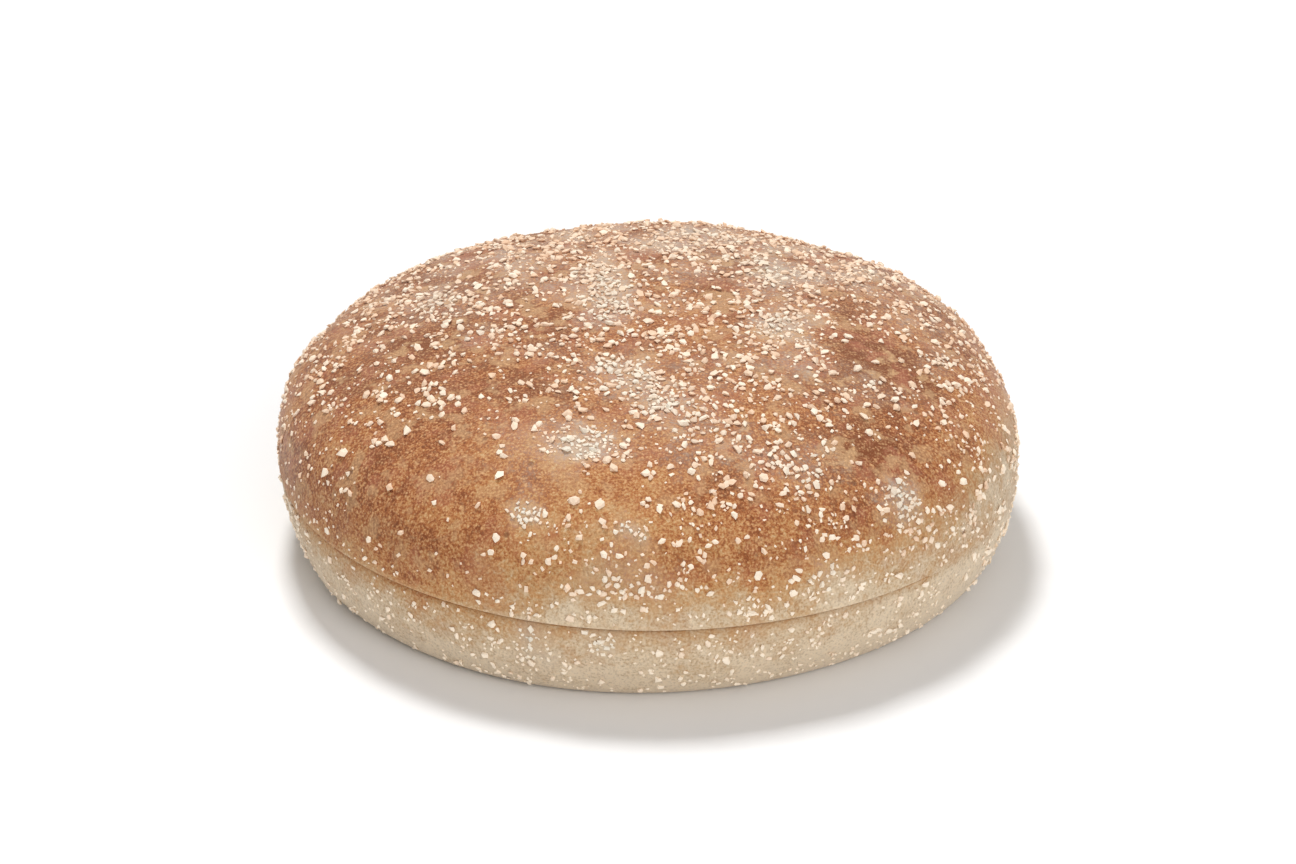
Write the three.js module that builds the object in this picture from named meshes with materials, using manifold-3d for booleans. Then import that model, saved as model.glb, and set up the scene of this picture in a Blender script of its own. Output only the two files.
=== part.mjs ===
// A rustic hamburger bun that lies on its flat base, with coarse corn grits baked onto its crust.
// A knife has slit it from the front: a narrow mouth parts the crown from the heel there, and
// the two stay joined at the back, so the bun is one piece.
// Sizes are in millimetres, +Z is up, the origin is the middle of the base, the slit faces -Y.

import * as THREE from "three";
import { mergeVertices } from "three/addons/utils/BufferGeometryUtils.js";
import Module from "manifold-3d";

// Driving dimensions
const DIAMETER = 110; // across the widest part
const HEIGHT = 36; // from the base to the top of the crown
const WAIST_HEIGHT = 15; // where the bun is widest
const BASE_DIAMETER = 97; // the flat that it rests on
const CROWN_SQUARENESS = 2.7; // exponent of the crown's superellipse: 2 is a plain ellipse
const CRUST = new THREE.Color(0xb98458);
const CRUST_ROUGHNESS = 0.85;

// The knife's slit: a V that is widest at the crust and dies out to both sides
const SLIT_HEIGHT = 13; // its line above the base, at the front
const SLIT_SLOPE = -0.022; // rise of that line for each millimetre to the right
const SLIT_MOUTH = 0.5;
const SLIT_DEPTH = 8;
const SLIT_TURN = THREE.MathUtils.degToRad(-14); // of its middle, which lies left of the front
const SLIT_FULL_TO = THREE.MathUtils.degToRad(42); // turn from its middle where it starts to close
const SLIT_ENDS_AT = THREE.MathUtils.degToRad(72);
const SLIT_TAPER = 3; // power by which it gets shallow as it closes
const LIP_STEP = 0.6; // the crown's lip stands out and the heel's lip sits in by this much
const LIP_REACH = 3; // height over which a lip runs out into the side

// Out-of-round of the plan, as lobes around the bun
const LOBES = [
  { count: 2, share: 0.006, turn: 0.5 },
  { count: 3, share: 0.004, turn: 1.9 },
  { count: 5, share: 0.003, turn: 0.8 },
];

// Swells and hollows of the crown, each a round patch on the plan
const SWELLS = [
  { x: 6, y: 38, rise: 0.7, reach: 9 },
  { x: -15, y: 37, rise: -0.7, reach: 9 },
  { x: 21, y: 35, rise: -0.5, reach: 7 },
  { x: 38, y: 27, rise: 0.5, reach: 9 },
  { x: 51, y: 7, rise: -0.5, reach: 7 },
  { x: -8, y: -37, rise: -1.1, reach: 4.2 },
  { x: -16, y: -47, rise: -0.8, reach: 3.8 },
  { x: -4, y: -19, rise: -0.6, reach: 5 },
  { x: 18, y: -30, rise: 0.6, reach: 10 },
  { x: -33, y: -12, rise: 0.5, reach: 11 },
  { x: -42, y: 20, rise: -0.5, reach: 9 },
  { x: 27, y: 8, rise: 0.5, reach: 10 },
  { x: -12, y: 14, rise: 0.4, reach: 11 },
  { x: 4, y: 52, rise: -0.5, reach: 8 },
];

// How finely the skin is divided
const AROUND = 78;
const CROWN_ROWS = 14;
const HEEL_ROWS = 5;

// Coarse grits: the largest ones, spread evenly over the crust
const GRIT_COUNT = 200;
const GRIT_LONGEST = 1.7;
const GRIT_SHORTEST = 1.3;
const GRIT_WIDTH_SHARE = 0.78;
const GRIT_THICKNESS_SHARE = 0.6;
const GRIT_SUNK_SHARE = 0.3; // of its thickness, below the crust
const GRIT_ANGULARITY = 0.2; // how far a corner departs from the round
const GRIT_SLIT_MARGIN = 2.0; // bare crust kept on both sides of the slit
const GRIT_LOWEST = 4; // none lower, so that only the flat base meets the table
const GRIT_STRAY = 0.3; // random part of a grit's turn, which breaks up the regular spread
const PLACE_SEED = 20240611;
const SHAPE_SEED = 7;
const SHORTEST_EDGE = 0.003; // a grit is seated so that joining it leaves no shorter edge
const RESEAT_SPIN = 0.37; // how far a grit spins for another try

const RADIUS = DIAMETER / 2;
const BASE_RADIUS = BASE_DIAMETER / 2;
const GOLDEN_TURN = Math.PI * (3 - Math.sqrt(5));
const HEART = new THREE.Vector3(0, 0, WAIST_HEIGHT); // swells push out from here

// The plain profile, with r from the axis and z from the base

function crownPoint(angle) {
  const power = 2 / CROWN_SQUARENESS;
  const r = RADIUS * Math.max(Math.cos(angle), 0) ** power;
  const z = WAIST_HEIGHT + (HEIGHT - WAIST_HEIGHT) * Math.sin(angle) ** power;
  return new THREE.Vector2(r, z);
}

function heelPoint(z) {
  const below = (WAIST_HEIGHT - z) / WAIST_HEIGHT;
  const r = BASE_RADIUS + (RADIUS - BASE_RADIUS) * Math.sqrt(1 - below ** 2);
  return new THREE.Vector2(r, z);
}

function crownProfile() {
  const points = [new THREE.Vector2(0, HEIGHT)];
  for (let row = 1; row <= CROWN_ROWS; row++) {
    points.push(crownPoint((Math.PI / 2) * (1 - row / CROWN_ROWS)));
  }
  return points;
}

function slitProfile() {
  const upperLip = heelPoint(SLIT_HEIGHT + SLIT_MOUTH / 2);
  const root = heelPoint(SLIT_HEIGHT);
  const lowerLip = heelPoint(SLIT_HEIGHT - SLIT_MOUTH / 2);
  return [upperLip, root, lowerLip];
}

function heelProfile() {
  const lipHeight = SLIT_HEIGHT - SLIT_MOUTH / 2;
  const points = [];
  for (let row = 1; row <= HEEL_ROWS; row++) {
    const angle = (Math.PI / 2) * (row / HEEL_ROWS);
    points.push(heelPoint(lipHeight * (1 - Math.sin(angle))));
  }
  points.push(new THREE.Vector2(0, 0));
  return points;
}

// What makes the plain turned shape uneven. A turn is counted from the front (-Y) towards +X.

function lobed(turn) {
  return LOBES.reduce((sum, lobe) => sum + lobe.share * Math.cos(lobe.count * turn + lobe.turn), 1);
}

function slitOpen(turn) {
  const ahead = THREE.MathUtils.euclideanModulo(turn - SLIT_TURN + Math.PI, 2 * Math.PI) - Math.PI;
  return 1 - THREE.MathUtils.smoothstep(Math.abs(ahead), SLIT_FULL_TO, SLIT_ENDS_AT);
}

function lipOffset(z) {
  const side = z >= SLIT_HEIGHT ? 1 : -1;
  return side * LIP_STEP * Math.exp(-Math.abs(z - SLIT_HEIGHT) / LIP_REACH);
}

// The slit's slope fades out towards the top of the crown and towards the base.
function slopeShare(z) {
  return z < SLIT_HEIGHT ? z / SLIT_HEIGHT : (HEIGHT - z) / (HEIGHT - SLIT_HEIGHT);
}

// Where a profile point lies on the uneven bun, with cut millimetres taken off its radius.
function skinPoint(turn, r, z, cut = 0) {
  const open = slitOpen(turn);
  const onSide = r > BASE_RADIUS ? (r - BASE_RADIUS) / (RADIUS - BASE_RADIUS) : 0;
  const radius = r * lobed(turn) + lipOffset(z) * open * onSide - cut * open ** SLIT_TAPER;
  const point = new THREE.Vector3(radius * Math.sin(turn), -radius * Math.cos(turn), z);
  point.z += SLIT_SLOPE * point.x * slopeShare(z);
  if (z > WAIST_HEIGHT) {
    const outwards = point.clone().sub(HEART).normalize();
    const rise = SWELLS.reduce((sum, swell) => {
      const away = Math.hypot(point.x - swell.x, point.y - swell.y) / swell.reach;
      return sum + swell.rise * Math.exp(-(away ** 2) / 2);
    }, 0);
    point.addScaledVector(outwards, rise * THREE.MathUtils.smoothstep(z, WAIST_HEIGHT, WAIST_HEIGHT + 4));
  }
  return point;
}

// The bare bun: a turned profile whose points are then set on the uneven skin
function bareBun() {
  const crown = crownProfile();
  const slit = slitProfile();
  const slitRoot = crown.length + 1;
  const profile = [...crown, ...slit, ...heelProfile()].reverse();
  const rootRow = profile.length - 1 - slitRoot;
  const geometry = new THREE.LatheGeometry(profile, AROUND);
  const position = geometry.getAttribute("position");
  for (let index = 0; index < position.count; index++) {
    const row = index % profile.length;
    const turn = (2 * Math.PI * Math.floor(index / profile.length)) / AROUND;
    const { x: r, y: z } = profile[row];
    const point = skinPoint(turn, r, z, row === rootRow ? SLIT_DEPTH : 0);
    position.setXYZ(index, point.x, point.y, point.z);
  }
  return geometry;
}

// Evenly spread places on the crust, by golden turns over its area. Along runs from 0 at the top
// of the crown to 1 at the edge of the base.

function profileAt(along) {
  if (along < 0.5) return crownPoint((Math.PI / 2) * (1 - 2 * along));
  return heelPoint(WAIST_HEIGHT * (2 - 2 * along));
}

function skinAt(turn, along) {
  const { x: r, y: z } = profileAt(along);
  return skinPoint(turn, r, z);
}

function skinNormal(turn, along) {
  const small = 0.001;
  const sideways = skinAt(turn + small, along).sub(skinAt(turn - small, along));
  const downwards = skinAt(turn, along + small).sub(skinAt(turn, along - small));
  return downwards.cross(sideways).normalize();
}

function crustStations() {
  const steps = 400;
  const stations = [];
  let area = 0;
  let previous = profileAt(0);
  for (let step = 1; step <= steps; step++) {
    const along = step / steps;
    const point = profileAt(along);
    if (point.y < GRIT_LOWEST) break;
    area += point.distanceTo(previous) * (point.x + previous.x);
    stations.push({ along, area, height: point.y });
    previous = point;
  }
  return stations;
}

// One grit: a small angular lump of corn
function gritGeometry(length, random) {
  const geometry = new THREE.IcosahedronGeometry(0.5, 0);
  geometry.deleteAttribute("normal");
  geometry.deleteAttribute("uv");
  const lump = mergeVertices(geometry);
  const position = lump.getAttribute("position");
  for (let index = 0; index < position.count; index++) {
    const corner = new THREE.Vector3().fromBufferAttribute(position, index);
    corner.multiplyScalar(1 + GRIT_ANGULARITY * (2 * random() - 1));
    position.setXYZ(index, corner.x, corner.y, corner.z);
  }
  return lump.scale(length, length * GRIT_WIDTH_SHARE, length * GRIT_THICKNESS_SHARE);
}

function gritPlacement(turn, station, thickness, spin) {
  const normal = skinNormal(turn, station.along);
  const centre = skinAt(turn, station.along);
  centre.addScaledVector(normal, thickness * (0.5 - GRIT_SUNK_SHARE));
  const upright = new THREE.Quaternion().setFromUnitVectors(new THREE.Vector3(0, 0, 1), normal);
  const turned = new THREE.Quaternion().setFromAxisAngle(new THREE.Vector3(0, 0, 1), spin);
  return new THREE.Matrix4().compose(centre, upright.multiply(turned), new THREE.Vector3(1, 1, 1));
}

function clearOfSlit(turn, station) {
  const line = SLIT_HEIGHT + SLIT_SLOPE * RADIUS * Math.sin(turn);
  return slitOpen(turn) === 0 || Math.abs(station.height - line) > GRIT_SLIT_MARGIN;
}

function gritPlaces() {
  const random = seededRandom(PLACE_SEED);
  const stations = crustStations();
  const wholeArea = stations[stations.length - 1].area;
  const places = [];
  for (let index = 0; index < GRIT_COUNT; index++) {
    const share = (index + 0.5) / GRIT_COUNT;
    const station = stations.find((place) => place.area >= share * wholeArea);
    const turn = index * GOLDEN_TURN + GRIT_STRAY * (random() - 0.5);
    if (clearOfSlit(turn, station)) places.push({ turn, station });
  }
  return places;
}

// A small seeded generator, so that every run makes the same bun
function seededRandom(seed) {
  let state = seed >>> 0;
  return () => {
    state = (Math.imul(state, 1664525) + 1013904223) >>> 0;
    return state / 2 ** 32;
  };
}

// Joining the grits to the crust

const wasm = await Module();
wasm.setup();

function toSolid(geometry) {
  const bare = new THREE.BufferGeometry();
  bare.setAttribute("position", geometry.getAttribute("position"));
  bare.setIndex(geometry.getIndex());
  const merged = mergeVertices(bare, 1e-4);
  const corners = Array.from(merged.index.array);
  const triangles = [];
  for (let index = 0; index < corners.length; index += 3) {
    const [a, b, c] = corners.slice(index, index + 3);
    if (a !== b && b !== c && c !== a) triangles.push(a, b, c);
  }
  const vertProperties = new Float32Array(merged.getAttribute("position").array);
  return new wasm.Manifold(new wasm.Mesh({ numProp: 3, vertProperties, triVerts: new Uint32Array(triangles) }));
}

function toGeometry(solid) {
  const { vertProperties, triVerts } = solid.getMesh();
  const geometry = new THREE.BufferGeometry();
  geometry.setAttribute("position", new THREE.BufferAttribute(vertProperties, 3));
  geometry.setIndex(new THREE.BufferAttribute(triVerts, 1));
  geometry.computeVertexNormals();
  return geometry;
}

function shortestEdge(solid) {
  const { vertProperties, triVerts } = solid.getMesh();
  const corner = (index) => new THREE.Vector3().fromArray(vertProperties, 3 * triVerts[index]);
  let shortest = Infinity;
  for (let index = 0; index < triVerts.length; index++) {
    const next = index % 3 === 2 ? index - 2 : index + 1;
    shortest = Math.min(shortest, corner(index).distanceTo(corner(next)));
  }
  return shortest;
}

// Corners that almost meet would leave hair-thin facets, so such a grit spins until none does.
function seatedGrit(bun, { turn, station }, random) {
  const length = THREE.MathUtils.lerp(GRIT_SHORTEST, GRIT_LONGEST, random());
  const lump = gritGeometry(length, random);
  let spin = 2 * Math.PI * random();
  let solid;
  do {
    const placement = gritPlacement(turn, station, length * GRIT_THICKNESS_SHARE, spin);
    solid = toSolid(lump.clone().applyMatrix4(placement));
    spin += RESEAT_SPIN;
  } while (shortestEdge(bun.intersect(solid)) < SHORTEST_EDGE);
  return solid;
}

function grittyBun() {
  const random = seededRandom(SHAPE_SEED);
  const bun = toSolid(bareBun());
  const grits = gritPlaces().map((place) => seatedGrit(bun, place, random));
  const solid = wasm.Manifold.union([bun, ...grits]);
  const material = new THREE.MeshStandardMaterial({ color: CRUST, roughness: CRUST_ROUGHNESS, metalness: 0 });
  const mesh = new THREE.Mesh(toGeometry(solid), material);
  mesh.name = "bun";
  return mesh;
}

const part = new THREE.Group();
part.add(grittyBun());
export default part;
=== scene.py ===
import math

import bpy
import numpy as np
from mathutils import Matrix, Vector, kdtree, noise


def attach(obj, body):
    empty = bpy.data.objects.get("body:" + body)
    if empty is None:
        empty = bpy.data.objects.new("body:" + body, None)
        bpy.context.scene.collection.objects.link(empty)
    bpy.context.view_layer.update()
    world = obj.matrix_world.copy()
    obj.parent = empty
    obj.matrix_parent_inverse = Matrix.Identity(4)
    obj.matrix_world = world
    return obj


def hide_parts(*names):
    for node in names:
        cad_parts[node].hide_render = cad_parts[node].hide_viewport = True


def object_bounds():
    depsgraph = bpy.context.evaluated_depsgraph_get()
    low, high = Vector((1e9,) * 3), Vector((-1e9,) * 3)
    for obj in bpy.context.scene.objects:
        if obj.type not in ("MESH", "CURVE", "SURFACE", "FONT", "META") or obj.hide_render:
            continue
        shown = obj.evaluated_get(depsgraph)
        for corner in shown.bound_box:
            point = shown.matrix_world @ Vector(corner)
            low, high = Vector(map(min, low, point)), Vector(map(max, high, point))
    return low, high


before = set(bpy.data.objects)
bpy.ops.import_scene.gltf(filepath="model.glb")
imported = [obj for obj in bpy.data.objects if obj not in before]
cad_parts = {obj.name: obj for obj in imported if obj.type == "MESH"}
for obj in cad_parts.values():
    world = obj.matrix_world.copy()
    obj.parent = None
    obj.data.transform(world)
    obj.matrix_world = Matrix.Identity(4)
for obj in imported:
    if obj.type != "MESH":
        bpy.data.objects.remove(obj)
cad_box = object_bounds()
bpy.ops.object.select_all(action="DESELECT")


# The bun: a flat round of wheat dough, proved on a floured tray and baked until the crown is
# brown and the heel still pale. A knife has opened it along the front, so the crown's lip stands
# a little out over the heel there, and the slit dies out to both sides.
mm = 0.001
radius = 55 * mm
height = 36 * mm
waist = 15 * mm
base_radius = 48.5 * mm
squareness = 2.7
slit_height = 13 * mm
slit_slope = -0.022
slit_mouth = 0.5 * mm
slit_depth = 8 * mm
slit_turn = math.radians(-14)
slit_full_to = math.radians(42)
slit_ends_at = math.radians(72)
slit_taper = 3
lip_step = 0.6 * mm
lip_reach = 3 * mm
lip_round = 0.3 * mm
slit_shares = (0.15, 0.4, 0.7, 1)
base_steps = 24
heel_steps = 24
waist_steps = 4
crown_steps = 112
steps_around = 400
merge_reach = 0.004 * mm


def heel_radius(z):
    return base_radius + (radius - base_radius) * np.sqrt(1 - ((waist - z) / waist) ** 2)


def crown_point(angle):
    share = 2 / squareness
    return radius * math.cos(angle) ** share, waist + (height - waist) * math.sin(angle) ** share


def bun_outline():
    """Half the bun's section, from the middle of the base round to the top of the crown."""
    quarter = math.pi / 2
    bends = (quarter / 3, quarter * 2 / 3, quarter)
    heel_top = slit_height - slit_mouth / 2 - lip_round
    crown_foot = slit_height + slit_mouth / 2 + lip_round
    points = [(base_radius * step / base_steps, 0) for step in range(base_steps)]
    for step in range(heel_steps + 1):
        z = heel_top * (1 - math.cos(quarter * step / heel_steps))
        points.append((heel_radius(z), z))
    for bend in bends:
        inwards, up = lip_round * (1 - math.cos(bend)), lip_round * math.sin(bend)
        points.append((heel_radius(heel_top) - inwards, heel_top + up))
    for side, shares in ((-1, slit_shares), (1, slit_shares[-2::-1])):
        for share in shares:
            inwards, off = lip_round + share * slit_depth, (1 - share) * slit_mouth / 2
            points.append((heel_radius(slit_height) - inwards, slit_height + side * off))
    for bend in reversed(bends):
        inwards, down = lip_round * (1 - math.cos(bend)), lip_round * math.sin(bend)
        points.append((heel_radius(crown_foot) - inwards, crown_foot - down))
    for step in range(waist_steps):
        z = crown_foot + (waist - crown_foot) * step / waist_steps
        points.append((heel_radius(z), z))
    points += [crown_point(quarter * step / crown_steps) for step in range(crown_steps)]
    return points + [(0, height)]


outline = bun_outline()
bpy.ops.mesh.primitive_plane_add(size=2 * mm)
bun = bpy.context.object
bun.name = bun.data.name = "bun_crust"
bpy.ops.object.mode_set(mode="EDIT")
bpy.ops.mesh.select_all(action="SELECT")
bpy.ops.mesh.merge(type="CENTER")
for (r, z), (next_r, next_z) in zip(outline, outline[1:]):
    bpy.ops.mesh.extrude_region_move(TRANSFORM_OT_translate={"value": (0, r - next_r, next_z - z)})
bpy.ops.mesh.select_all(action="SELECT")
bpy.ops.mesh.spin(steps=steps_around, angle=2 * math.pi, center=(0, 0, 0), axis=(0, 0, 1))
bpy.ops.mesh.select_all(action="SELECT")
bpy.ops.mesh.remove_doubles(threshold=merge_reach)
bpy.ops.mesh.normals_make_consistent(inside=False)
bpy.ops.object.mode_set(mode="OBJECT")

# The dough is not quite round, and swells and hollows run over the crown. A lobe has its count, its
# share of the radius and its start, and a swell its middle, its lift and its reach in millimetres.
swell_fade = 4 * mm
lobes = ((2, 0.006, 0.5), (3, 0.004, 1.9), (5, 0.003, 0.8))
swells = (
    (6, 38, 0.7, 9), (-15, 37, -0.7, 9), (21, 35, -0.5, 7), (38, 27, 0.5, 9), (51, 7, -0.5, 7),
    (-8, -37, -1.1, 4.2), (-16, -47, -0.8, 3.8), (-4, -19, -0.6, 5), (18, -30, 0.6, 10),
    (-33, -12, 0.5, 11), (-42, 20, -0.5, 9), (27, 8, 0.5, 10), (-12, 14, 0.4, 11), (4, 52, -0.5, 8),
)


def smooth(low, high, value):
    """A soft step from 0 at the low value to 1 at the high one."""
    share = np.clip((value - low) / (high - low), 0, 1)
    return share * share * (3 - 2 * share)


def slit_open(turn):
    """How far the slit is open at a turn from the front: 1 at its middle, 0 where it has died out."""
    ahead = (turn - slit_turn + math.pi) % (2 * math.pi) - math.pi
    return 1 - smooth(slit_full_to, slit_ends_at, np.abs(ahead))


def on_skin(turn, r, z, inwards=0):
    """Where a point of the plain round section lies on the uneven bun, or inwards of its skin."""
    opened = slit_open(turn)
    on_side = np.clip((r - base_radius) / (radius - base_radius), 0, 1)
    lip = np.where(z >= slit_height, 1, -1) * lip_step * np.exp(-np.abs(z - slit_height) / lip_reach)
    lobed = 1 + sum(share * np.cos(count * turn + start) for count, share, start in lobes)
    out = r * lobed + lip * opened * on_side - inwards * opened**slit_taper
    x, y = out * np.sin(turn), -out * np.cos(turn)
    slope_share = np.where(z < slit_height, z / slit_height, (height - z) / (height - slit_height))
    skin = np.stack((x, y, z + slit_slope * x * slope_share), axis=1)
    from_heart = skin - (0, 0, waist)
    from_heart /= np.linalg.norm(from_heart, axis=1, keepdims=True)
    rise = sum(
        lift * mm * np.exp(-((x - sx * mm) ** 2 + (y - sy * mm) ** 2) / (2 * (reach * mm) ** 2))
        for sx, sy, lift, reach in swells
    )
    return skin + from_heart * (rise * smooth(waist, waist + swell_fade, z))[:, None]


def corners(mesh):
    places = np.empty(3 * len(mesh.vertices))
    mesh.vertices.foreach_get("co", places)
    return places.reshape(-1, 3)


x, y, z = corners(bun.data).T
turn = np.arctan2(x, -y)
r = np.hypot(x, y)
by_slit = np.abs(z - slit_height) < slit_mouth / 2 + lip_round
skin_r = np.where(by_slit, heel_radius(np.where(by_slit, z, waist)), r)
inwards = np.maximum(skin_r - r, 0)
opened = slit_open(turn)
bun.data.vertices.foreach_set("co", on_skin(turn, skin_r, z, inwards).ravel())
bun.data.update()

# Baking leaves the skin lumpy and finely wrinkled, but not the flat base or the cut faces.
base_edge = 0.3 * mm
skin_foot = 3 * mm
even_by_lips = 1.2 * mm
skin = bun.vertex_groups.new(name="skin")
from_lips = np.abs(z - slit_height) - slit_mouth / 2 - lip_round
off_lips = 1 - opened * (1 - smooth(0, even_by_lips, from_lips))
skin_share = smooth(base_edge, skin_foot, z) * off_lips
for index, share in enumerate(skin_share):
    if share > 0:
        skin.add([index], float(share), "REPLACE")
for name, size, depth in (("lumps", 9 * mm, 0.55 * mm), ("wrinkles", 2.4 * mm, 0.2 * mm)):
    clouds = bpy.data.textures.new(name, "CLOUDS")
    clouds.noise_scale = size
    clouds.noise_depth = 2
    displace = bun.modifiers.new(name, "DISPLACE")
    displace.texture = clouds
    displace.texture_coords = "LOCAL"
    displace.strength = depth
    displace.mid_level = 0.5
    displace.vertex_group = "skin"
    bpy.ops.object.modifier_apply(modifier=name)
bpy.ops.object.shade_smooth()


# The crust: the outside of the dough, which the oven bakes brown on the crown and leaves pale on
# the heel, in patches. Flour and grits lie thickest in a few hollows and in streaks over the top.
# Each patch has its middle and its reach in millimetres, and its strength.
dark_spots = (
    # The weak spot at -27, -30 is partly a painted shadow cast by a neighbouring bun.
    (34, -13, 33, 4.5, 0.65), (31, -34, 30, 4.5, 0.42), (-27, -30, 32, 7, 0.06),
    (10, -46, 29, 4.5, 0.22), (-17, -25, 35, 4.5, 0.18), (-3, -12, 36, 3, 0.1),
    (-30, -8, 34, 5, 0.14), (-14, 0, 36, 4, 0.12), (9, 9, 36, 4, 0.18), (28, -22, 33, 4, 0.1),
    (41, -20, 30, 5, 0.04), (-17, -43, 29, 3, 0.06), (-44, -12, 30, 9, 0.06),
    (-30, 30, 31, 10, 0.08), (30, 30, 31, 9, 0.08), (-30, 20, 34, 6, 0.1),
    (-20, 8, 36, 4, 0.12), (-33, 0, 34, 5, 0.1), (6, 24, 36, 4, 0.12), (14, 16, 36, 3, 0.12),
)
pale_spots = (
    (-8, -37, 33, 3, 0.16), (-16, -47, 27, 2.8, 0.14), (-4, -19, 36, 3.5, 0.1),
    (-3, -51, 26, 2.6, 0.16), (36, -39, 24, 4, 0.22), (27, -48.5, 17, 4.5, 0.15),
    (-5, 5, 36, 4, 0.1), (20, -4, 35, 3.4, 0.2), (-10, -52, 22, 5, 0.12),
    (17, 2, 36, 3.5, 0.08), (18, -28, 33, 5, 0.06), (2, -45, 30, 5, 0.08), (-20, -38, 32, 8, 0.15),
    (48, -20, 24, 6, 0.16), (-2, -54, 19, 5, 0.04), (-10, -54, 19, 4, 0.03), (0, -46, 30, 9, 0.05),
    (-20, -49.5, 23, 4.5, 0.2), (14, -51.5, 22, 5, 0.08), (0, -52.5, 23, 5, 0.08),
)
dusted_spots = (
    (-7, 11, 36, 3.5, 0.7), (-5, 3, 36, 3, 1), (-7, -4, 36, 3, 0.6), (-3, -19, 36, 3.5, 1.1),
    (0, -25, 35, 3, 0.6), (3, -29, 35, 3, 0.6), (6, -34, 34, 3.5, 0.4), (4, -40, 32, 3, 0.35),
    (12, -36, 33, 3.5, 0.4), (18, -39, 31, 3.5, 0.3), (24, -36, 31, 3.5, 0.4), (20, -16, 35, 2.6, 0.5),
    (32, -18, 33, 3.5, 0.5), (36, -21, 32, 3, 0.4), (28, -30, 32, 2.5, 0.4), (42, -5, 31, 4, 0.5),
    (43, -12, 31, 3, 0.4), (20, -4, 35, 3.5, 0.9), (21, 15, 35, 4, 0.7), (18, 6, 36, 3, 0.4),
    (-25, -8, 35, 2.5, 0.5), (-14, -14, 35, 2.5, 0.4), (-30, 5, 34, 4, 0.4), (10, -20, 35, 4, 0.3),
    (-8, -37, 33, 3, 0.4), (-16, -47, 27, 2.6, 0.3), (-3, -51, 26, 2, 0.3), (36, -38, 25, 2.8, 0.5),
    (26, -48.5, 17, 4, 0.85), (-16, -52, 10, 2.6, 0.4), (17, -52, 11, 3.5, 0.4), (-34, 16, 33, 6, 0.3),
    (8, 30, 34, 7, 0.3), (36, 18, 32, 6, 0.3), (24, -41, 29, 3, 0.6), (41, -20, 31, 3, 0.3),
    (14, -43, 31, 3, 0.3), (-6, -53, 21, 3.5, 0.7), (2, -53.5, 19.5, 3, 0.6),
    (-23, -49, 21, 2.5, 0.7),
)
hollows = (
    (-8, -37, 33, 3, 0.9), (-16, -47, 27, 2.5, 0.8), (-3, -51, 26, 1.9, 0.8), (36, -38, 25, 2.6, 0.8),
    (-16, -52, 10, 2.4, 0.7), (-6, -53.5, 12, 2, 0.6),
)
floury_spots = (
    (-6, -40, 32, 10, 0.2), (35, -39, 25, 5, 0.4), (-12, -53, 10, 8, 0.1), (2, -27, 35, 4, 0.15),
    (-6, 7, 36, 5, 0.15), (-16, 28, 35, 6, 0.35), (18, 28, 35, 6, 0.2), (34, 18, 33, 6, 0.35),
    (20, -4, 35, 4, 0.5), (20, 14, 36, 4, 0.35), (-18, -38, 32, 7, 0.6), (0, 34, 34, 6, 0.3),
    (42, 5, 32, 4, 0.3), (24, -16, 34, 7, 0.3),
)
bare_spots = (
    (-26, -39, 30, 10, 0.95), (-6, -46, 29, 6, 0.8), (38, -33, 27, 4, 0.7), (-13, -1, 36, 3.5, 0.7),
    (9, -5, 36, 3, 0.6), (-20, -22, 34, 4, 0.6), (29, -6, 34, 3.5, 0.6), (-5, -31, 34, 3, 0.7),
    (-21, -46, 26, 5, 0.7), (-37, -36, 24, 7, 0.6), (34, -13, 33, 5.5, 1), (31, -34, 30, 4, 0.95),
    (8, 9, 36, 4, 0.8), (-30, -8, 34, 5, 0.6), (-30, 20, 34, 5, 0.7), (14, -51, 23, 6, 0.3),
)
stray_reach = 2.2 * mm
stray_size = 5 * mm
heel_brown = 0.12
slit_brown = 0.08
crown_brown = 0.49
top_brown = 0.1
side_brown = 0.07
base_brown = 0.3
foot_painted_light = 0.13
right_heel_pale = 0.11
crown_lip_pale_and_highlight = 0.08
under_lip_brown_and_shade = 0.24
under_lip_fade_right = 0.15


def spots(places, patches):
    """The sum of soft round patches."""
    total = np.zeros(len(places))
    for *middle, reach, strength in patches:
        away = np.sum((places / mm - middle) ** 2, axis=1) / reach**2
        total += strength * np.exp(-away / 2)
    return total


def cloudy(places, size, octaves, shift):
    """Soft random patches of about this size, from -1 to 1."""
    offset = Vector((shift, 2 * shift, -shift))
    return np.array([noise.fractal(Vector(p) / size + offset, 1.0, 2.0, octaves) for p in places])


def rear_clouds(places):
    """Patches over the rear of the crown, which is browner where they are high, floury where low."""
    return cloudy(places, 6 * mm, 2, 11.4)


def strayed(places):
    """Places that are moved a little, so that round patches get uneven edges."""
    moves = [cloudy(places, stray_size, 3, shift) for shift in (2.3, 6.1, 9.7)]
    return places + stray_reach * np.stack(moves, axis=1)


def above_slit(places):
    """How far places are above the middle of the slit, or below it where this is less than 0."""
    return places[:, 2] - slit_slope * places[:, 0] - slit_height


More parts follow.
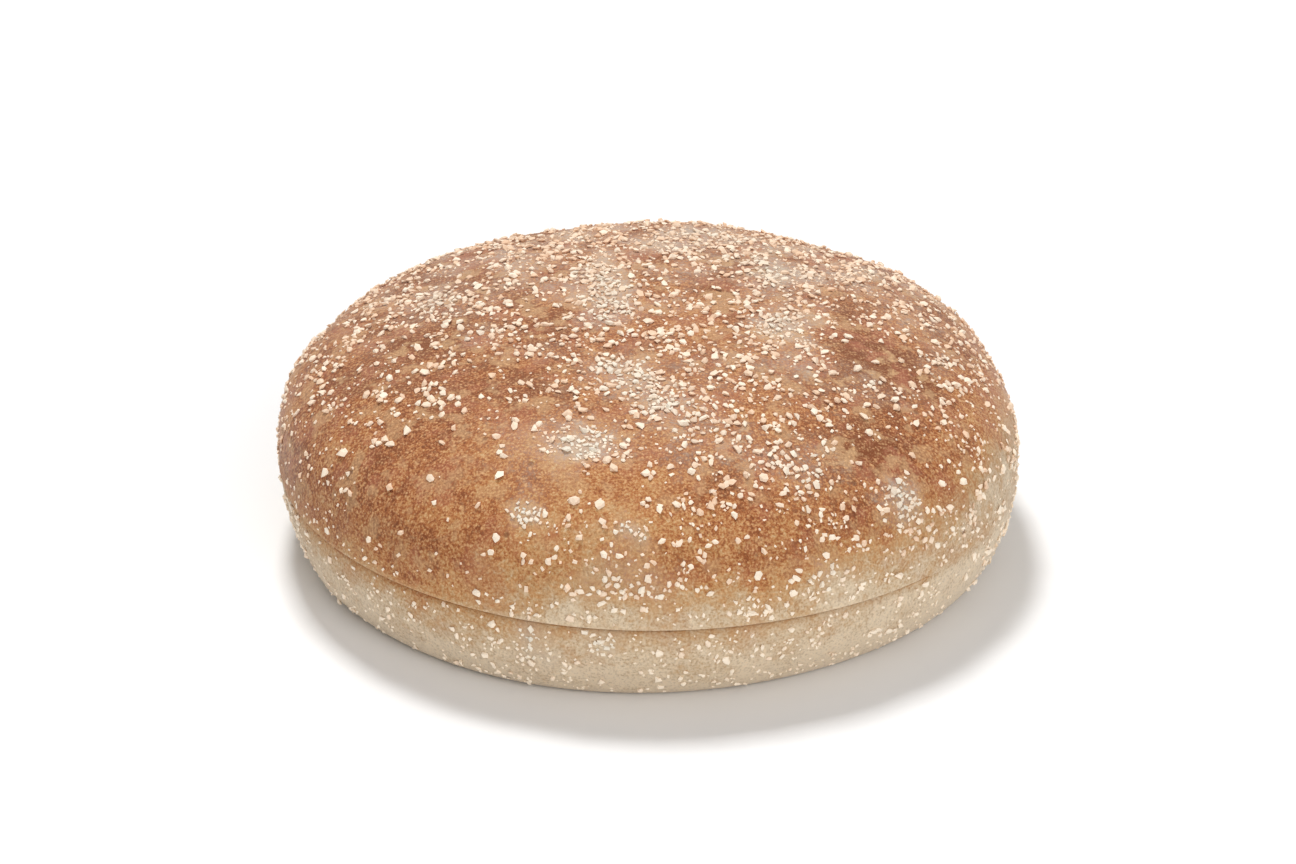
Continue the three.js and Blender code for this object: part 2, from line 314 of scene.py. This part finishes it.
def baked_share(places):
    """How brown the crust is, with painted shade and light mixed in: near 0 at the foot of the heel,
    near 0.8 on the crown.
    """
    x, y, z = places.T
    turn = np.arctan2(x, -y)
    degrees = np.degrees(turn)
    above = above_slit(places)
    in_front = smooth(165, 110, np.abs(degrees))
    paler_right = 4.5 * mm * smooth(20, 70, degrees)
    browner_left = 6.5 * mm * smooth(-8, -36, degrees)
    up = above - (paler_right - browner_left) * in_front * smooth(-2 * mm, 0, above)
    # Painted light: the heel is made paler towards its foot.
    rising = heel_brown - foot_painted_light * smooth(-3 * mm, -12 * mm, above)
    rising = rising + slit_brown * smooth(-3 * mm, 1 * mm, above)
    rising = rising + crown_brown * smooth(0.5 * mm, 11 * mm, up)
    rising = rising + top_brown * smooth(27 * mm, 34 * mm, z)
    at_sides = smooth(-8 * mm, -30 * mm, x) + smooth(10 * mm, 32 * mm, x)
    rising = rising + side_brown * at_sides * smooth(18 * mm, 24 * mm, z)
    patchy = 0.1 * cloudy(places, 13 * mm, 2, 3.1) + 0.16 * cloudy(places, 4 * mm, 3, 8.7)
    patchy = patchy + 0.24 * smooth(-30 * mm, 0, y) * rear_clouds(places)
    patchy = patchy * (0.5 + 0.5 * smooth(-1 * mm, 9 * mm, up))
    # The crown's lip is paler at its edge, partly as baked and partly as a painted highlight.
    crown_lip = -crown_lip_pale_and_highlight * np.exp(-np.abs(above) / mm)
    # Below the slit the heel is browner and also carries painted shade, from the overhanging lip and,
    # on the left, from a neighbouring bun.
    heel_lip_brown_and_shade = under_lip_brown_and_shade - under_lip_fade_right * smooth(-35, 10, degrees)
    heel_lip_brown_and_shade = heel_lip_brown_and_shade * smooth(-7 * mm, 0, above)
    lips = slit_open(turn) * np.where(above > 0, crown_lip, heel_lip_brown_and_shade)
    right_heel = smooth(5, 40, degrees) * in_front * smooth(1 * mm, -2 * mm, above)
    right_heel = right_heel_pale * right_heel * smooth(0, 4 * mm, z)
    inside_base = smooth(base_radius, base_radius - 6 * mm, np.hypot(x, y))
    underneath = base_brown * smooth(0.5 * mm, 0, z) * inside_base
    uneven = strayed(places)
    patches = spots(uneven, dark_spots) - spots(uneven, pale_spots)
    return rising + patchy + patches + lips - right_heel + underneath


def dusted_share(places):
    """How thickly the grits lie: near 0 where there are few, near 1 where they hide the crust."""
    x, y, z = places.T
    general = 0.05 + 0.14 * smooth(24 * mm, 35 * mm, z) + 0.22 * smooth(-25 * mm, 30 * mm, y)
    general = general - 0.08 * smooth(15 * mm, 35 * mm, x)
    patchy = 0.22 * cloudy(places, 7 * mm, 3, 5.3)
    return np.clip(general + patchy + spots(strayed(places), dusted_spots), 0, 1.2)


def floured_share(places):
    """How much flour lies on the crust, between the grits and in the hollows."""
    y, z = places.T[1:]
    in_patches = 0.3 - 0.9 * rear_clouds(places)
    on_top = 0.12 * smooth(28 * mm, 35 * mm, z) + smooth(-20 * mm, 40 * mm, y) * in_patches
    at_foot = 0.2 * smooth(11 * mm, 6 * mm, z)
    uneven = strayed(places)
    patches = spots(places, floury_spots) + spots(uneven, hollows) - 0.35 * spots(uneven, bare_spots)
    return 0.8 * dusted_share(places) + on_top + at_foot + patches


def lip_shade_and_highlight_share(places):
    """1 in the crease under the crown's lip, painted shade; -1 on that lip's pale edge, partly a
    painted highlight; 0 away.
    """
    x, y = places.T[:2]
    above = above_slit(places)
    on_edge = -np.exp(-np.maximum(above, 0) / (0.6 * mm))
    in_crease = smooth(-2.2 * mm, 0, above)
    return slit_open(np.arctan2(x, -y)) * np.where(above > 0, on_edge, in_crease)


places = corners(bun.data)
for name, share in (
    ("baked", baked_share(places)),
    ("floured", floured_share(places)),
    ("lip", lip_shade_and_highlight_share(places)),
    ("crumb", np.clip(inwards / (0.8 * mm) - 0.4, 0, 1) * opened),
):
    layer = bun.data.attributes.new(name, "FLOAT", "POINT")
    layer.data.foreach_set("value", share.astype(np.float32))


class Shade:
    """A value, colour or vector on its way through a material: maths on it adds nodes."""

    def __init__(self, tree, socket=None):
        self.tree = tree
        self.socket = socket

    def node(self, kind, settings=None, inputs=None, output=0):
        node = self.tree.nodes.new(kind)
        for name, value in (settings or {}).items():
            if name == "stops":
                while len(node.color_ramp.elements) < len(value):
                    node.color_ramp.elements.new(0.5)
                for element, (position, tone) in zip(node.color_ramp.elements, value):
                    element.position, element.color = position, tone
            else:
                setattr(node, name, value)
        for name, value in (inputs or {}).items():
            if isinstance(value, Shade):
                self.tree.links.new(value.socket, node.inputs[name])
            else:
                node.inputs[name].default_value = value
        return Shade(self.tree, node.outputs[output] if node.outputs else None)

    def math(self, operation, *values):
        return self.node("ShaderNodeMath", {"operation": operation}, dict(enumerate(values)))

    def between(self, low, high):
        settings = {"interpolation_type": "SMOOTHSTEP"}
        inputs = {"Value": self, "From Min": low, "From Max": high}
        return self.node("ShaderNodeMapRange", settings, inputs)

    def mix(self, first, second):
        settings = {"data_type": "RGBA"}
        return self.node("ShaderNodeMix", settings, {0: self, 6: first, 7: second}, output=2)

    def __add__(self, other):
        return self.math("ADD", self, other)

    def __sub__(self, other):
        return self.math("SUBTRACT", self, other)

    def __rsub__(self, other):
        return self.math("SUBTRACT", other, self)

    def __mul__(self, other):
        return self.math("MULTIPLY", self, other)

    __radd__, __rmul__ = __add__, __mul__


def colour(red, green, blue):
    """A colour as a screen shows it, from 0 to 255, as the light that it sends back."""
    shares = [level / 255 for level in (red, green, blue)]
    return tuple(s / 12.92 if s < 0.04045 else ((s + 0.055) / 1.055) ** 2.4 for s in shares) + (1,)


def new_material(name):
    material = bpy.data.materials.new(name)
    material.use_nodes = True
    material.node_tree.nodes.clear()
    return material, Shade(material.node_tree)


def grainy(shade, where, size, detail=3, roughness=0.6):
    """Noise whose grains are about this size."""
    inputs = {"Vector": where, "Scale": 1 / size, "Detail": detail, "Roughness": roughness}
    return shade.node("ShaderNodeTexNoise", None, inputs)


def dotted(shade, where, size, edge, drawn):
    """Round dots, one to a cell of this size: how soft their edge is, and which of them are drawn."""
    inputs = {"Vector": where, "Scale": 1 / size}
    away = shade.node("ShaderNodeTexVoronoi", None, inputs)
    kind = shade.node("ShaderNodeTexVoronoi", None, inputs, output=1)
    draw = shade.node("ShaderNodeSeparateColor", None, {0: kind})
    return (1 - away.between(*edge)) * draw.between(*drawn)


crust_tones = (
    (0.0, colour(222, 203, 176)),
    (0.1, colour(208, 187, 158)),
    (0.2, colour(200, 171, 136)),
    (0.32, colour(192, 153, 110)),
    (0.46, colour(191, 141, 91)),
    (0.62, colour(179, 117, 70)),
    (0.8, colour(156, 91, 52)),
    (1.0, colour(128, 71, 40)),
)
ruddy_tone = colour(168, 102, 76)
tan_tone = colour(196, 156, 114)
speck_tone = colour(222, 174, 124)
dark_sand_tone = colour(112, 72, 46)
pale_sand_tone = colour(236, 200, 154)
pit_tone = colour(104, 62, 40)
thin_flour = colour(226, 184, 138)
flour = colour(212, 194, 174)
thick_flour_and_shade = colour(198, 188, 174)
crease_painted_shade_tone = colour(124, 88, 54)
lip_edge_pale_and_highlight_tone = colour(232, 200, 158)
crumb_tone = colour(214, 180, 136)

crust, shade = new_material("baked_crust")
where = shade.node("ShaderNodeTexCoord", output=3)
baked = shade.node("ShaderNodeAttribute", {"attribute_name": "baked"}, output=2)
floured = shade.node("ShaderNodeAttribute", {"attribute_name": "floured"}, output=2)
lip = shade.node("ShaderNodeAttribute", {"attribute_name": "lip"}, output=2)
crumb = shade.node("ShaderNodeAttribute", {"attribute_name": "crumb"}, output=2)
mottle = grainy(shade, where, 2.6 * mm, 3)
grain = grainy(shade, where, 0.7 * mm, 2)
sand = grainy(shade, where, 0.38 * mm, 3, 0.7)
fine_grain = (grain - 0.5) * 0.8 + (sand - 0.5) * 1.4
browned = baked + (mottle - 0.5) * (0.42 + baked * 0.2) + fine_grain * (0.3 + baked * 0.98)
crust_colour = shade.node("ShaderNodeValToRGB", {"stops": crust_tones}, {0: browned})
ruddy = grainy(shade, where, 6 * mm, 4).between(0.5, 0.62) * baked
crust_colour = (ruddy * 0.6).mix(crust_colour, ruddy_tone)
tanned = grainy(shade, where, 4.2 * mm, 4).between(0.52, 0.62) * baked
crust_colour = (tanned * 0.65).mix(crust_colour, tan_tone)
specks = dotted(shade, where, 0.6 * mm, (0.1, 0.55), (0.3, 1))
specks = specks + dotted(shade, where, 0.38 * mm, (0.1, 0.6), (0.4, 1))
crust_colour = (specks * 0.65 * baked.between(0.1, 0.5)).mix(crust_colour, speck_tone)
crust_colour = (sand.between(0.5, 0.7) * 0.35).mix(crust_colour, dark_sand_tone)
crust_colour = (sand.between(0.5, 0.3) * 0.3).mix(crust_colour, pale_sand_tone)
pits = dotted(shade, where, 3.2 * mm, (0.06, 0.18), (0.86, 0.9))
crust_colour = (pits * 0.6).mix(crust_colour, pit_tone)
film = (floured * 0.5 + (mottle - 0.5) * 0.8 + (grain - 0.5) + (sand - 0.5) * 0.9).between(0.15, 1)
powder = film * (0.56 + (sand - 0.5) * 0.5) + floured.between(0, 1) * 0.1
powder_colour = floured.between(0.1, 0.6).mix(thin_flour, flour)
# Where the flour lies thickest, as in the hollows, its tone is greyer and darker, partly painted shade
# between the flakes.
powder_colour = floured.between(0.6, 1.1).mix(powder_colour, thick_flour_and_shade)
crust_colour = powder.mix(crust_colour, powder_colour)
# Painted shade darkens the crease under the crown's lip, and a painted highlight lightens the lip's
# paler edge.
crust_colour = (lip.between(0, 1) * 0.26).mix(crust_colour, crease_painted_shade_tone)
crust_colour = (lip.between(0, -1) * 0.35).mix(crust_colour, lip_edge_pale_and_highlight_tone)
crust_colour = crumb.mix(crust_colour, crumb_tone)
relief = mottle * 0.3 + grain * 0.4 + sand * 0.5 + specks * 0.15 - pits * 0.6
bump_inputs = {"Strength": 0.6, "Distance": 0.35 * mm, "Height": relief}
bump = shade.node("ShaderNodeBump", None, bump_inputs)
surface = shade.node(
    "ShaderNodeBsdfPrincipled",
    None,
    {
        "Base Color": crust_colour,
        "Roughness": 0.7 + powder * 0.2,
        "Specular IOR Level": 0.12,
        "Sheen Weight": 0.25,
        "Sheen Roughness": 0.4,
        "Sheen Tint": (1, 0.95, 0.9, 1),
        "Normal": bump,
    },
)
shade.node("ShaderNodeOutputMaterial", None, {0: surface})
bun.data.materials.append(crust)
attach(bun, "root")
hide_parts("bun")


# The coarse grits: broken corn, sieved to about a millimetre, sprinkled on the damp dough and
# baked onto the skin. The largest are spread evenly over all of it, in the places that they have
# on the solid, and the rest lie thickest where the crust is dusted.
rng = np.random.default_rng(seed=41)
large_count = 200
large_lowest = 4 * mm
large_slit_margin = 2 * mm
large_stray = 0.3
large_seed = 20240611
large_range = (1.2, 1.5)  # lengths in millimetres
draw_factor = 1664525
draw_step = 1013904223
draw_range = 2**32
golden_turn = math.pi * (3 - math.sqrt(5))
section_steps = 400
cells_around = 300
cells_along = 160
grit_lowest = 1.2 * mm
grit_slit_margin = 0.9 * mm
barest = 0.03
small_count = 2900
clump_count = 3000
clump_reach = 0.85 * mm
small_spread = 0.24
small_range = (0.5, 1.5)  # lengths in millimetres
grits_apart = 0.7
lump_tilt = 0.2
lump_spread = (0.75, 1.25)


def section_point(along):
    """A point of the plain section: 0 is the top of the crown, 1 the edge of the base."""
    if along < 0.5:
        return crown_point(math.pi / 2 * (1 - 2 * along))
    z = waist * (2 - 2 * along)
    return heel_radius(z), z


def large_grit_places():
    """The places of the largest grits, by golden turns over the crust's area, as on the solid."""
    section = np.array([section_point(step / section_steps) for step in range(section_steps + 1)])
    section = section[section[:, 1] >= large_lowest]
    lengths = np.linalg.norm(np.diff(section, axis=0), axis=1)
    areas = np.cumsum(lengths * (section[1:, 0] + section[:-1, 0]))
    state = large_seed
    places = []
    for index in range(large_count):
        state = (state * draw_factor + draw_step) % draw_range
        turn = index * golden_turn + large_stray * (state / draw_range - 0.5)
        r, z = section[1 + np.searchsorted(areas, (index + 0.5) / large_count * areas[-1])]
        slit_line = slit_height + slit_slope * radius * math.sin(turn)
        if slit_open(turn) == 0 or abs(z - slit_line) > large_slit_margin:
            places.append((turn, r, z))
    return on_skin(*np.array(places).T)


def crust_cells(around, along):
    """The skin above the base in small four-sided cells: corners, areas and middles."""
    section = np.array([section_point(step / along) for step in range(along + 1)])
    turns = np.linspace(-math.pi, math.pi, around + 1)
    turn, step = np.meshgrid(turns, np.arange(along + 1), indexing="ij")
    grid = on_skin(turn.ravel(), *section[step.ravel()].T).reshape(around + 1, along + 1, 3)
    loops = (grid[:-1, :-1], grid[1:, :-1], grid[1:, 1:], grid[:-1, 1:])
    sides = np.stack(loops, axis=2).reshape(-1, 4, 3)
    area = np.linalg.norm(np.cross(sides[:, 2] - sides[:, 0], sides[:, 3] - sides[:, 1]), axis=1)
    return sides, area, sides.mean(axis=1)


cells, cell_area, cell_middle = crust_cells(cells_around, cells_along)
cell_turn = np.arctan2(cell_middle[:, 0], -cell_middle[:, 1])
cell_by_slit = (np.abs(above_slit(cell_middle)) < grit_slit_margin) & (slit_open(cell_turn) > 0)
cell_free = (cell_middle[:, 2] > grit_lowest) & ~cell_by_slit
cell_dusted = dusted_share(cell_middle)
cell_strayed = strayed(cell_middle)
cell_streaks = np.exp(1.2 * cloudy(cell_middle, 5 * mm, 2, 1.7))
cell_streaks = cell_streaks * np.maximum(1 - spots(cell_strayed, bare_spots), barest)
cell_thick = 0.45 + 0.3 * smooth(26 * mm, 34 * mm, cell_middle[:, 2]) + 1.9 * cell_dusted
cell_heaped = 11 * np.maximum(cell_dusted - 0.7, 0)

skin_normals = np.empty(3 * len(bun.data.vertices))
bun.data.vertex_normals.foreach_get("vector", skin_normals)
skin_normals = skin_normals.reshape(-1, 3)
skin_corners = kdtree.KDTree(len(bun.data.vertices))
for index, corner in enumerate(corners(bun.data)):
    skin_corners.insert(corner, index)
skin_corners.balance()


def seated(places):
    """The nearest places on the crust, with the normals of the crust's corners there."""
    seats = np.array([bun.closest_point_on_mesh(Vector(place))[1] for place in places])
    nearest = [skin_corners.find(seat)[1] for seat in seats]
    return seats, skin_normals[nearest]


def scatter(count, thick):
    """Places and normals at random on the crust, by area and by how thickly the grits lie there."""
    weight = np.where(cell_free, cell_area * thick, 0)
    chosen = rng.choice(len(weight), count, p=weight / weight.sum())
    across, along = rng.random((2, count, 1))
    first, second, third, fourth = cells[chosen].transpose(1, 0, 2)
    near = first + across * (second - first)
    far = fourth + across * (third - fourth)
    return seated(near + along * (far - near))


def clumped(places, normals, count, reach):
    """More places, which fall close to a few of these and stay clear of the slit and the base."""
    heads = rng.integers(len(places) // 2, size=count)
    near = places[heads] + rng.normal(scale=reach, size=(count, 3))
    near, near_normals = seated(near)
    clear = (np.abs(above_slit(near)) > grit_slit_margin) & (near[:, 2] > grit_lowest)
    return np.concatenate((places, near[clear])), np.concatenate((normals, near_normals[clear]))


def spaced(places, apart):
    """Which places stay, when each keeps its distance from those that stay before it."""
    kept = []
    for index, place in enumerate(places):
        near = np.sum((places[kept] - place) ** 2, axis=1) < apart[index] ** 2
        if not near.any():
            kept.append(index)
    return np.array(kept)


def lump_mesh(name, shape, places, normals, lengths, width, thickness, sunk, angular, tones):
    """Many lumps in one mesh: each one a copy of the shape with corners, spin and tilt of its own."""
    shape_points, shape_faces = shape
    count = len(places)
    across = rng.normal(size=(count, 3))
    up = normals + lump_tilt * rng.normal(size=(count, 3))
    up /= np.linalg.norm(up, axis=1, keepdims=True)
    side = np.cross(up, across)
    side /= np.linalg.norm(side, axis=1, keepdims=True)
    axes = np.stack((side, np.cross(up, side), up), axis=1)
    wide = width * rng.uniform(*lump_spread, count)
    thick = thickness * rng.uniform(*lump_spread, count)
    sizes = lengths[:, None] * np.stack((np.ones(count), wide, thick), axis=1)
    uneven = 1 + angular * rng.uniform(-1, 1, (count, len(shape_points), 1))
    bodies = shape_points[None] * uneven * sizes[:, None]
    middles = places + normals * (lengths * thick * (0.5 - sunk))[:, None]
    points = np.einsum("nij,njk->nik", bodies, axes) + middles[:, None]
    low, high = np.array(cad_box[0]), np.array(cad_box[1])
    shift = np.minimum(high - points.max(axis=1), 0) + np.maximum(low - points.min(axis=1), 0)
    points += shift[:, None]
    mesh = bpy.data.meshes.new(name)
    faces = shape_faces[None] + len(shape_points) * np.arange(count)[:, None, None]
    faces = faces.reshape(-1, shape_faces.shape[1])
    mesh.from_pydata(points.reshape(-1, 3).tolist(), [], faces.tolist())
    y, z = places.T[1:]
    # Grits low on the heel are paler and those on the crown warmer, partly toasting and partly painted
    # warm light thrown back by the brown crust; rear ones are warmer still.
    toasted = rng.uniform(*tones, count) - 0.6 * smooth(22 * mm, 12 * mm, z)
    toasted = toasted + 0.15 * smooth(-20 * mm, 25 * mm, y) * smooth(20 * mm, 30 * mm, z)
    in_hollows = smooth(0.25, 0.6, spots(strayed(places), hollows))
    dusty = 0.8 * smooth(0.4, 1, dusted_share(places)) + in_hollows
    dusty = np.minimum(dusty, 1) * rng.uniform(0.2, 1, count)
    for layer_name, share in (("toasted", toasted), ("dusty", dusty)):
        layer = mesh.attributes.new(layer_name, "FLOAT", "POINT")
        layer.data.foreach_set("value", np.repeat(share, len(shape_points)).astype(np.float32))
    lumps = bpy.data.objects.new(name, mesh)
    bpy.context.collection.objects.link(lumps)
    return lumps


def shape_of(primitive):
    """The corners and faces of a primitive, which is then removed."""
    points = corners(primitive.data)
    faces = np.array([list(face.vertices) for face in primitive.data.polygons])
    bpy.data.objects.remove(primitive)
    return points, faces


bpy.ops.object.select_all(action="DESELECT")
bpy.ops.mesh.primitive_ico_sphere_add(subdivisions=1, radius=0.5)
grit_shape = shape_of(bpy.context.object)
large_places, large_normals = seated(large_grit_places())
large_lengths = rng.uniform(*large_range, len(large_places)) * mm
sprinkled = scatter(small_count, cell_thick * cell_streaks + cell_heaped)
small_places, small_normals = clumped(*sprinkled, clump_count, clump_reach)
small_medians = 0.85 + 0.12 * smooth(10 * mm, 20 * mm, small_places[:, 2])
small_medians = small_medians + 0.17 * smooth(24 * mm, 34 * mm, small_places[:, 2])
small_lengths = rng.lognormal(np.log(small_medians), small_spread)
small_lengths = np.clip(small_lengths, *small_range) * mm
grit_places = np.concatenate((large_places, small_places))
grit_normals = np.concatenate((large_normals, small_normals))
grit_lengths = np.concatenate((large_lengths, small_lengths))
kept = spaced(grit_places, grits_apart * grit_lengths)
coarse_grits = lump_mesh(
    "coarse_grits", grit_shape, grit_places[kept], grit_normals[kept], grit_lengths[kept],
    width=0.74, thickness=0.46, sunk=0.2, angular=0.4, tones=(-0.1, 1),
)

pale_corn = colour(253, 237, 215)
warm_corn = colour(236, 200, 168)
floury_corn = colour(230, 222, 206)

corn, shade = new_material("corn_grits")
toasted = shade.node("ShaderNodeAttribute", {"attribute_name": "toasted"}, output=2)
dusty = shade.node("ShaderNodeAttribute", {"attribute_name": "dusty"}, output=2)
where = shade.node("ShaderNodeTexCoord", output=3)
chalk = grainy(shade, where, 0.4 * mm, 2)
# The warm tone is partly toasting and partly painted warm light from the crust.
corn_colour = (toasted + (chalk - 0.5) * 0.8).mix(pale_corn, warm_corn)
corn_colour = dusty.mix(corn_colour, floury_corn)
surface = shade.node(
    "ShaderNodeBsdfPrincipled",
    None,
    {
        "Base Color": corn_colour,
        "Roughness": 0.5 + chalk * 0.2,
        "Specular IOR Level": 0.3,
    },
)
shade.node("ShaderNodeOutputMaterial", None, {0: surface})
coarse_grits.data.materials.append(corn)
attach(coarse_grits, "root")


# The fine grits: the dust and splinters of the same corn, under a millimetre long. They stick
# wherever the skin was damp, and have run together and baked fast in the small hollows.
splinter_count = 6500
splinter_spread = 0.25
splinter_range = (0.25, 0.95)  # lengths in millimetres
bpy.ops.mesh.primitive_cube_add(size=0.8)
splinter_shape = shape_of(bpy.context.object)
cell_in_hollow = np.maximum(spots(cell_strayed, hollows) - 0.3, 0)
cell_fine = cell_streaks * (0.12 + 0.1 * cell_dusted) + 3.6 * cell_in_hollow
cell_fine = cell_fine + 0.4 * smooth(0.6, 1.2, floured_share(cell_middle))
splinter_places, splinter_normals = scatter(splinter_count, cell_fine)
in_hollow = smooth(0.3, 0.6, spots(strayed(splinter_places), hollows))
splinter_lengths = rng.lognormal(np.log(0.48 + 0.27 * in_hollow), splinter_spread)
splinter_lengths = np.clip(splinter_lengths, *splinter_range) * mm
kept = spaced(splinter_places, grits_apart * splinter_lengths)
fine_grits = lump_mesh(
    "fine_grits", splinter_shape, splinter_places[kept], splinter_normals[kept],
    splinter_lengths[kept], width=0.65, thickness=0.42, sunk=0.3, angular=0.3, tones=(0, 0.8),
)
fine_grits.data.materials.append(corn)
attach(fine_grits, "root")


# The stage: a plain pale floor, a soft light above and behind, a larger and weaker one in front,
# and the camera, low enough to see the crown, the slit and the heel. The lens is in millimetres,
# and all other lengths here are in metres.
floor_size = 6
floor_tone = (0.9, 0.9, 0.9, 1)
room_light = 0.4
target = Vector((0, 0, 0.016))
elevation = math.radians(26.4)
distance = 0.605
focal_length = 113

bpy.ops.object.select_all(action="DESELECT")
bpy.ops.mesh.primitive_plane_add(size=floor_size)
floor = bpy.context.object
floor.name = "floor"
paper, shade = new_material("pale_floor")
surface = shade.node("ShaderNodeBsdfPrincipled", None, {"Base Color": floor_tone, "Roughness": 0.9})
shade.node("ShaderNodeOutputMaterial", None, {0: surface})
floor.data.materials.append(paper)

world = bpy.data.worlds.new("studio")
world.use_nodes = True
world.node_tree.nodes["Background"].inputs["Color"].default_value = (1, 1, 1, 1)
world.node_tree.nodes["Background"].inputs["Strength"].default_value = room_light
bpy.context.scene.world = world
for name, place, size, power in (
    ("overhead", (-0.12, 0.32, 0.88), 0.2, 6.1),
    ("front", (0.32, -0.88, 0.55), 0.6, 4.5),
):
    light = bpy.data.lights.new(name, "AREA")
    light.size = size
    light.energy = power
    lamp = bpy.data.objects.new(name, light)
    lamp.location = place
    lamp.rotation_euler = (target - Vector(place)).to_track_quat("-Z", "Y").to_euler()
    bpy.context.collection.objects.link(lamp)

lens = bpy.data.cameras.new("camera")
lens.lens = focal_length
camera = bpy.data.objects.new("camera", lens)
camera.location = target + distance * Vector((0, -math.cos(elevation), math.sin(elevation)))
camera.rotation_euler = (target - camera.location).to_track_quat("-Z", "Y").to_euler()
bpy.context.collection.objects.link(camera)
bpy.context.scene.camera = camera
bpy.context.scene.view_settings.view_transform = "Standard"

bpy.context.view_layer.update()
